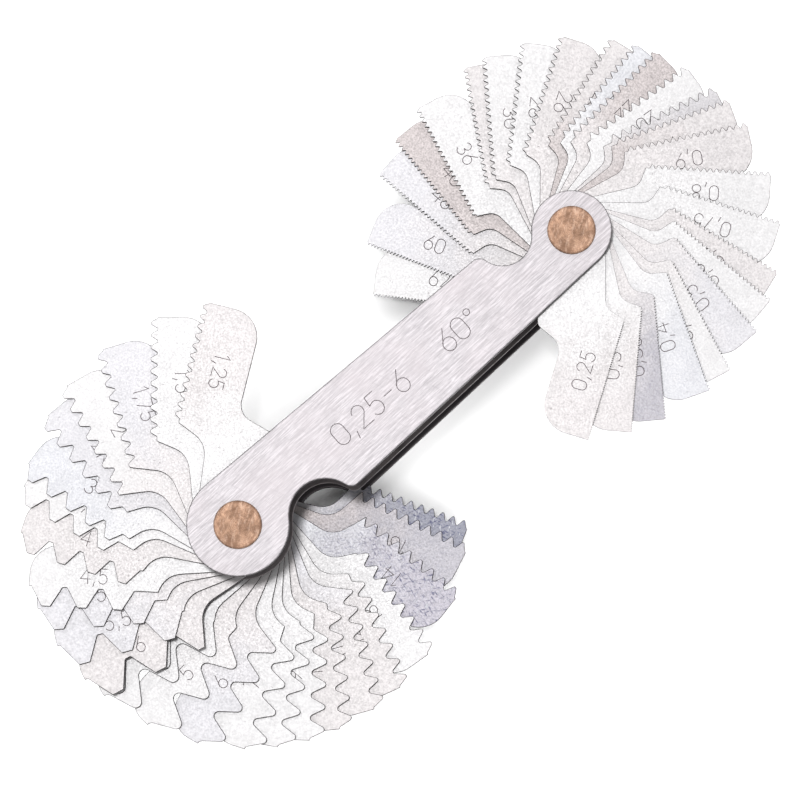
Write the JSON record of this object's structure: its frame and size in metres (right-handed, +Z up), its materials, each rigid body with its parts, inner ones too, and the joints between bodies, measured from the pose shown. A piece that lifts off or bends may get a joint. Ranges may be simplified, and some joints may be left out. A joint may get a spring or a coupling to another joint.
{
  "type": "screw pitch gauge",
  "caption": "Folding screw pitch gauge: steel leaves with toothed edges fan out from two rivets at the ends of a plate handle with thumb notches.",
  "frame": {"origin": "centre of the flat on the lower head of the rivet that holds the coarse leaves, on the plane that the closed gauge rests on", "axes": "+X from the coarse rivet to the fine rivet, +Z up along both rivets, +Y across the handle, away from the thumb notch beside the coarse rivet"},
  "size_m": [0.1081, 0.0556, 0.0173],
  "materials": {
    "cover_steel": "brushed along the handle, lightly scratched",
    "divider_steel": "satin",
    "metric_leaf_steel": "pale satin with engraved numbers",
    "inch_leaf_steel": "pale satin with engraved numbers and some dark speckle",
    "rivet_metal": "copper coloured, lightly tarnished dome"
  },
  "bodies": {
    "handle": {"top_cover": "cover_steel", "bottom_cover": "cover_steel", "divider_plate": "divider_steel", "coarse_rivet": "rivet_metal", "fine_rivet": "rivet_metal"},
    "metric_leaf_1_25": {"metric_leaf_1_25": "metric_leaf_steel"},
    "metric_leaf_1_5": {"metric_leaf_1_5": "metric_leaf_steel"},
    "metric_leaf_1_75": {"metric_leaf_1_75": "metric_leaf_steel"},
    "metric_leaf_2": {"metric_leaf_2": "metric_leaf_steel"},
    "metric_leaf_2_5": {"metric_leaf_2_5": "metric_leaf_steel"},
    "metric_leaf_3": {"metric_leaf_3": "metric_leaf_steel"},
    "metric_leaf_3_5": {"metric_leaf_3_5": "metric_leaf_steel"},
    "metric_leaf_4": {"metric_leaf_4": "metric_leaf_steel"},
    "metric_leaf_4_5": {"metric_leaf_4_5": "metric_leaf_steel"},
    "metric_leaf_5": {"metric_leaf_5": "metric_leaf_steel"},
    "metric_leaf_5_5": {"metric_leaf_5_5": "metric_leaf_steel"},
    "metric_leaf_6": {"metric_leaf_6": "metric_leaf_steel"},
    "inch_leaf_4": {"inch_leaf_4": "inch_leaf_steel"},
    "inch_leaf_4_5": {"inch_leaf_4_5": "inch_leaf_steel"},
    "inch_leaf_5": {"inch_leaf_5": "inch_leaf_steel"},
    "inch_leaf_6": {"inch_leaf_6": "inch_leaf_steel"},
    "inch_leaf_7": {"inch_leaf_7": "inch_leaf_steel"},
    "inch_leaf_8": {"inch_leaf_8": "inch_leaf_steel"},
    "inch_leaf_9": {"inch_leaf_9": "inch_leaf_steel"},
    "inch_leaf_10": {"inch_leaf_10": "inch_leaf_steel"},
    "inch_leaf_11": {"inch_leaf_11": "inch_leaf_steel"},
    "inch_leaf_12": {"inch_leaf_12": "inch_leaf_steel"},
    "inch_leaf_13": {"inch_leaf_13": "inch_leaf_steel"},
    "inch_leaf_14": {"inch_leaf_14": "inch_leaf_steel"},
    "inch_leaf_16": {"inch_leaf_16": "inch_leaf_steel"},
    "inch_leaf_18": {"inch_leaf_18": "inch_leaf_steel"},
    "metric_leaf_0_25": {"metric_leaf_0_25": "metric_leaf_steel"},
    "metric_leaf_0_3": {"metric_leaf_0_3": "metric_leaf_steel"},
    "metric_leaf_0_35": {"metric_leaf_0_35": "metric_leaf_steel"},
    "metric_leaf_0_4": {"metric_leaf_0_4": "metric_leaf_steel"},
    "metric_leaf_0_45": {"metric_leaf_0_45": "metric_leaf_steel"},
    "metric_leaf_0_5": {"metric_leaf_0_5": "metric_leaf_steel"},
    "metric_leaf_0_6": {"metric_leaf_0_6": "metric_leaf_steel"},
    "metric_leaf_0_7": {"metric_leaf_0_7": "metric_leaf_steel"},
    "metric_leaf_0_75": {"metric_leaf_0_75": "metric_leaf_steel"},
    "metric_leaf_0_8": {"metric_leaf_0_8": "metric_leaf_steel"},
    "metric_leaf_0_9": {"metric_leaf_0_9": "metric_leaf_steel"},
    "metric_leaf_1": {"metric_leaf_1": "metric_leaf_steel"},
    "inch_leaf_19": {"inch_leaf_19": "inch_leaf_steel"},
    "inch_leaf_20": {"inch_leaf_20": "inch_leaf_steel"},
    "inch_leaf_22": {"inch_leaf_22": "inch_leaf_steel"},
    "inch_leaf_24": {"inch_leaf_24": "inch_leaf_steel"},
    "inch_leaf_25": {"inch_leaf_25": "inch_leaf_steel"},
    "inch_leaf_26": {"inch_leaf_26": "inch_leaf_steel"},
    "inch_leaf_28": {"inch_leaf_28": "inch_leaf_steel"},
    "inch_leaf_30": {"inch_leaf_30": "inch_leaf_steel"},
    "inch_leaf_32": {"inch_leaf_32": "inch_leaf_steel"},
    "inch_leaf_36": {"inch_leaf_36": "inch_leaf_steel"},
    "inch_leaf_40": {"inch_leaf_40": "inch_leaf_steel"},
    "inch_leaf_48": {"inch_leaf_48": "inch_leaf_steel"},
    "inch_leaf_60": {"inch_leaf_60": "inch_leaf_steel"},
    "inch_leaf_62": {"inch_leaf_62": "inch_leaf_steel"}
  },
  "joints": [
    {"name": "metric_leaf_1_25_pivot", "type": "hinge", "parent": "handle", "child": "metric_leaf_1_25", "pos_m": [0, 0, 0], "axis": [0, 0, 1], "range_deg": [-56, 304]},
    {"name": "metric_leaf_1_5_pivot", "type": "hinge", "parent": "handle", "child": "metric_leaf_1_5", "pos_m": [0, 0, 0], "axis": [0, 0, 1], "range_deg": [-70, 290]},
    {"name": "metric_leaf_1_75_pivot", "type": "hinge", "parent": "handle", "child": "metric_leaf_1_75", "pos_m": [0, 0, 0], "axis": [0, 0, 1], "range_deg": [-86.5, 273.5]},
    {"name": "metric_leaf_2_pivot", "type": "hinge", "parent": "handle", "child": "metric_leaf_2", "pos_m": [0, 0, 0], "axis": [0, 0, 1], "range_deg": [-100, 260]},
    {"name": "metric_leaf_2_5_pivot", "type": "hinge", "parent": "handle", "child": "metric_leaf_2_5", "pos_m": [0, 0, 0], "axis": [0, 0, 1], "range_deg": [-109.5, 250.5]},
    {"name": "metric_leaf_3_pivot", "type": "hinge", "parent": "handle", "child": "metric_leaf_3", "pos_m": [0, 0, 0], "axis": [0, 0, 1], "range_deg": [-123.5, 236.5]},
    {"name": "metric_leaf_3_5_pivot", "type": "hinge", "parent": "handle", "child": "metric_leaf_3_5", "pos_m": [0, 0, 0], "axis": [0, 0, 1], "range_deg": [-130, 230]},
    {"name": "metric_leaf_4_pivot", "type": "hinge", "parent": "handle", "child": "metric_leaf_4", "pos_m": [0, 0, 0], "axis": [0, 0, 1], "range_deg": [-142.5, 217.5]},
    {"name": "metric_leaf_4_5_pivot", "type": "hinge", "parent": "handle", "child": "metric_leaf_4_5", "pos_m": [0, 0, 0], "axis": [0, 0, 1], "range_deg": [-157, 203]},
    {"name": "metric_leaf_5_pivot", "type": "hinge", "parent": "handle", "child": "metric_leaf_5", "pos_m": [0, 0, 0], "axis": [0, 0, 1], "range_deg": [-164, 196]},
    {"name": "metric_leaf_5_5_pivot", "type": "hinge", "parent": "handle", "child": "metric_leaf_5_5", "pos_m": [0, 0, 0], "axis": [0, 0, 1], "range_deg": [-175.5, 184.5]},
    {"name": "metric_leaf_6_pivot", "type": "hinge", "parent": "handle", "child": "metric_leaf_6", "pos_m": [0, 0, 0], "axis": [0, 0, 1], "range_deg": [-187.5, 172.5]},
    {"name": "inch_leaf_4_pivot", "type": "hinge", "parent": "handle", "child": "inch_leaf_4", "pos_m": [0, 0, 0], "axis": [0, 0, 1], "range_deg": [-188, 172]},
    {"name": "inch_leaf_4_5_pivot", "type": "hinge", "parent": "handle", "child": "inch_leaf_4_5", "pos_m": [0, 0, 0], "axis": [0, 0, 1], "range_deg": [-194.5, 165.5]},
    {"name": "inch_leaf_5_pivot", "type": "hinge", "parent": "handle", "child": "inch_leaf_5", "pos_m": [0, 0, 0], "axis": [0, 0, 1], "range_deg": [-207.5, 152.5]},
    {"name": "inch_leaf_6_pivot", "type": "hinge", "parent": "handle", "child": "inch_leaf_6", "pos_m": [0, 0, 0], "axis": [0, 0, 1], "range_deg": [-220.5, 139.5]},
    {"name": "inch_leaf_7_pivot", "type": "hinge", "parent": "handle", "child": "inch_leaf_7", "pos_m": [0, 0, 0], "axis": [0, 0, 1], "range_deg": [-232, 128]},
    {"name": "inch_leaf_8_pivot", "type": "hinge", "parent": "handle", "child": "inch_leaf_8", "pos_m": [0, 0, 0], "axis": [0, 0, 1], "range_deg": [-240, 120]},
    {"name": "inch_leaf_9_pivot", "type": "hinge", "parent": "handle", "child": "inch_leaf_9", "pos_m": [0, 0, 0], "axis": [0, 0, 1], "range_deg": [-248, 112]},
    {"name": "inch_leaf_10_pivot", "type": "hinge", "parent": "handle", "child": "inch_leaf_10", "pos_m": [0, 0, 0], "axis": [0, 0, 1], "range_deg": [-256, 104]},
    {"name": "inch_leaf_11_pivot", "type": "hinge", "parent": "handle", "child": "inch_leaf_11", "pos_m": [0, 0, 0], "axis": [0, 0, 1], "range_deg": [-266, 94]},
    {"name": "inch_leaf_12_pivot", "type": "hinge", "parent": "handle", "child": "inch_leaf_12", "pos_m": [0, 0, 0], "axis": [0, 0, 1], "range_deg": [-274.5, 85.5]},
    {"name": "inch_leaf_13_pivot", "type": "hinge", "parent": "handle", "child": "inch_leaf_13", "pos_m": [0, 0, 0], "axis": [0, 0, 1], "range_deg": [-285.5, 74.5]},
    {"name": "inch_leaf_14_pivot", "type": "hinge", "parent": "handle", "child": "inch_leaf_14", "pos_m": [0, 0, 0], "axis": [0, 0, 1], "range_deg": [-301.5, 58.5]},
    {"name": "inch_leaf_16_pivot", "type": "hinge", "parent": "handle", "child": "inch_leaf_16", "pos_m": [0, 0, 0], "axis": [0, 0, 1], "range_deg": [-313.5, 46.5]},
    {"name": "inch_leaf_18_pivot", "type": "hinge", "parent": "handle", "child": "inch_leaf_18", "pos_m": [0, 0, 0], "axis": [0, 0, 1], "range_deg": [-319.5, 40.5]},
    {"name": "metric_leaf_0_25_pivot", "type": "hinge", "parent": "handle", "child": "metric_leaf_0_25", "pos_m": [0.0551, 0, 0], "axis": [0, 0, 1], "range_deg": [-53.5, 306.5]},
    {"name": "metric_leaf_0_3_pivot", "type": "hinge", "parent": "handle", "child": "metric_leaf_0_3", "pos_m": [0.0551, 0, 0], "axis": [0, 0, 1], "range_deg": [-65.5, 294.5]},
    {"name": "metric_leaf_0_35_pivot", "type": "hinge", "parent": "handle", "child": "metric_leaf_0_35", "pos_m": [0.0551, 0, 0], "axis": [0, 0, 1], "range_deg": [-75.5, 284.5]},
    {"name": "metric_leaf_0_4_pivot", "type": "hinge", "parent": "handle", "child": "metric_leaf_0_4", "pos_m": [0.0551, 0, 0], "axis": [0, 0, 1], "range_deg": [-90, 270]},
    {"name": "metric_leaf_0_45_pivot", "type": "hinge", "parent": "handle", "child": "metric_leaf_0_45", "pos_m": [0.0551, 0, 0], "axis": [0, 0, 1], "range_deg": [-98, 262]},
    {"name": "metric_leaf_0_5_pivot", "type": "hinge", "parent": "handle", "child": "metric_leaf_0_5", "pos_m": [0.0551, 0, 0], "axis": [0, 0, 1], "range_deg": [-111, 249]},
    {"name": "metric_leaf_0_6_pivot", "type": "hinge", "parent": "handle", "child": "metric_leaf_0_6", "pos_m": [0.0551, 0, 0], "axis": [0, 0, 1], "range_deg": [-120.5, 239.5]},
    {"name": "metric_leaf_0_7_pivot", "type": "hinge", "parent": "handle", "child": "metric_leaf_0_7", "pos_m": [0.0551, 0, 0], "axis": [0, 0, 1], "range_deg": [-128.5, 231.5]},
    {"name": "metric_leaf_0_75_pivot", "type": "hinge", "parent": "handle", "child": "metric_leaf_0_75", "pos_m": [0.0551, 0, 0], "axis": [0, 0, 1], "range_deg": [-142.5, 217.5]},
    {"name": "metric_leaf_0_8_pivot", "type": "hinge", "parent": "handle", "child": "metric_leaf_0_8", "pos_m": [0.0551, 0, 0], "axis": [0, 0, 1], "range_deg": [-156.5, 203.5]},
    {"name": "metric_leaf_0_9_pivot", "type": "hinge", "parent": "handle", "child": "metric_leaf_0_9", "pos_m": [0.0551, 0, 0], "axis": [0, 0, 1], "range_deg": [-172, 188]},
    {"name": "metric_leaf_1_pivot", "type": "hinge", "parent": "handle", "child": "metric_leaf_1", "pos_m": [0.0551, 0, 0], "axis": [0, 0, 1], "range_deg": [-180.5, 179.5]},
    {"name": "inch_leaf_19_pivot", "type": "hinge", "parent": "handle", "child": "inch_leaf_19", "pos_m": [0.0551, 0, 0], "axis": [0, 0, 1], "range_deg": [-186, 174]},
    {"name": "inch_leaf_20_pivot", "type": "hinge", "parent": "handle", "child": "inch_leaf_20", "pos_m": [0.0551, 0, 0], "axis": [0, 0, 1], "range_deg": [-196, 164]},
    {"name": "inch_leaf_22_pivot", "type": "hinge", "parent": "handle", "child": "inch_leaf_22", "pos_m": [0.0551, 0, 0], "axis": [0, 0, 1], "range_deg": [-205.5, 154.5]},
    {"name": "inch_leaf_24_pivot", "type": "hinge", "parent": "handle", "child": "inch_leaf_24", "pos_m": [0.0551, 0, 0], "axis": [0, 0, 1], "range_deg": [-211.5, 148.5]},
    {"name": "inch_leaf_25_pivot", "type": "hinge", "parent": "handle", "child": "inch_leaf_25", "pos_m": [0.0551, 0, 0], "axis": [0, 0, 1], "range_deg": [-218.5, 141.5]},
    {"name": "inch_leaf_26_pivot", "type": "hinge", "parent": "handle", "child": "inch_leaf_26", "pos_m": [0.0551, 0, 0], "axis": [0, 0, 1], "range_deg": [-232.5, 127.5]},
    {"name": "inch_leaf_28_pivot", "type": "hinge", "parent": "handle", "child": "inch_leaf_28", "pos_m": [0.0551, 0, 0], "axis": [0, 0, 1], "range_deg": [-243.5, 116.5]},
    {"name": "inch_leaf_30_pivot", "type": "hinge", "parent": "handle", "child": "inch_leaf_30", "pos_m": [0.0551, 0, 0], "axis": [0, 0, 1], "range_deg": [-255, 105]},
    {"name": "inch_leaf_32_pivot", "type": "hinge", "parent": "handle", "child": "inch_leaf_32", "pos_m": [0.0551, 0, 0], "axis": [0, 0, 1], "range_deg": [-261, 99]},
    {"name": "inch_leaf_36_pivot", "type": "hinge", "parent": "handle", "child": "inch_leaf_36", "pos_m": [0.0551, 0, 0], "axis": [0, 0, 1], "range_deg": [-278.5, 81.5]},
    {"name": "inch_leaf_40_pivot", "type": "hinge", "parent": "handle", "child": "inch_leaf_40", "pos_m": [0.0551, 0, 0], "axis": [0, 0, 1], "range_deg": [-289, 71]},
    {"name": "inch_leaf_48_pivot", "type": "hinge", "parent": "handle", "child": "inch_leaf_48", "pos_m": [0.0551, 0, 0], "axis": [0, 0, 1], "range_deg": [-299.5, 60.5]},
    {"name": "inch_leaf_60_pivot", "type": "hinge", "parent": "handle", "child": "inch_leaf_60", "pos_m": [0.0551, 0, 0], "axis": [0, 0, 1], "range_deg": [-319, 41]},
    {"name": "inch_leaf_62_pivot", "type": "hinge", "parent": "handle", "child": "inch_leaf_62", "pos_m": [0.0551, 0, 0], "axis": [0, 0, 1], "range_deg": [-333.5, 26.5]}
  ]
}
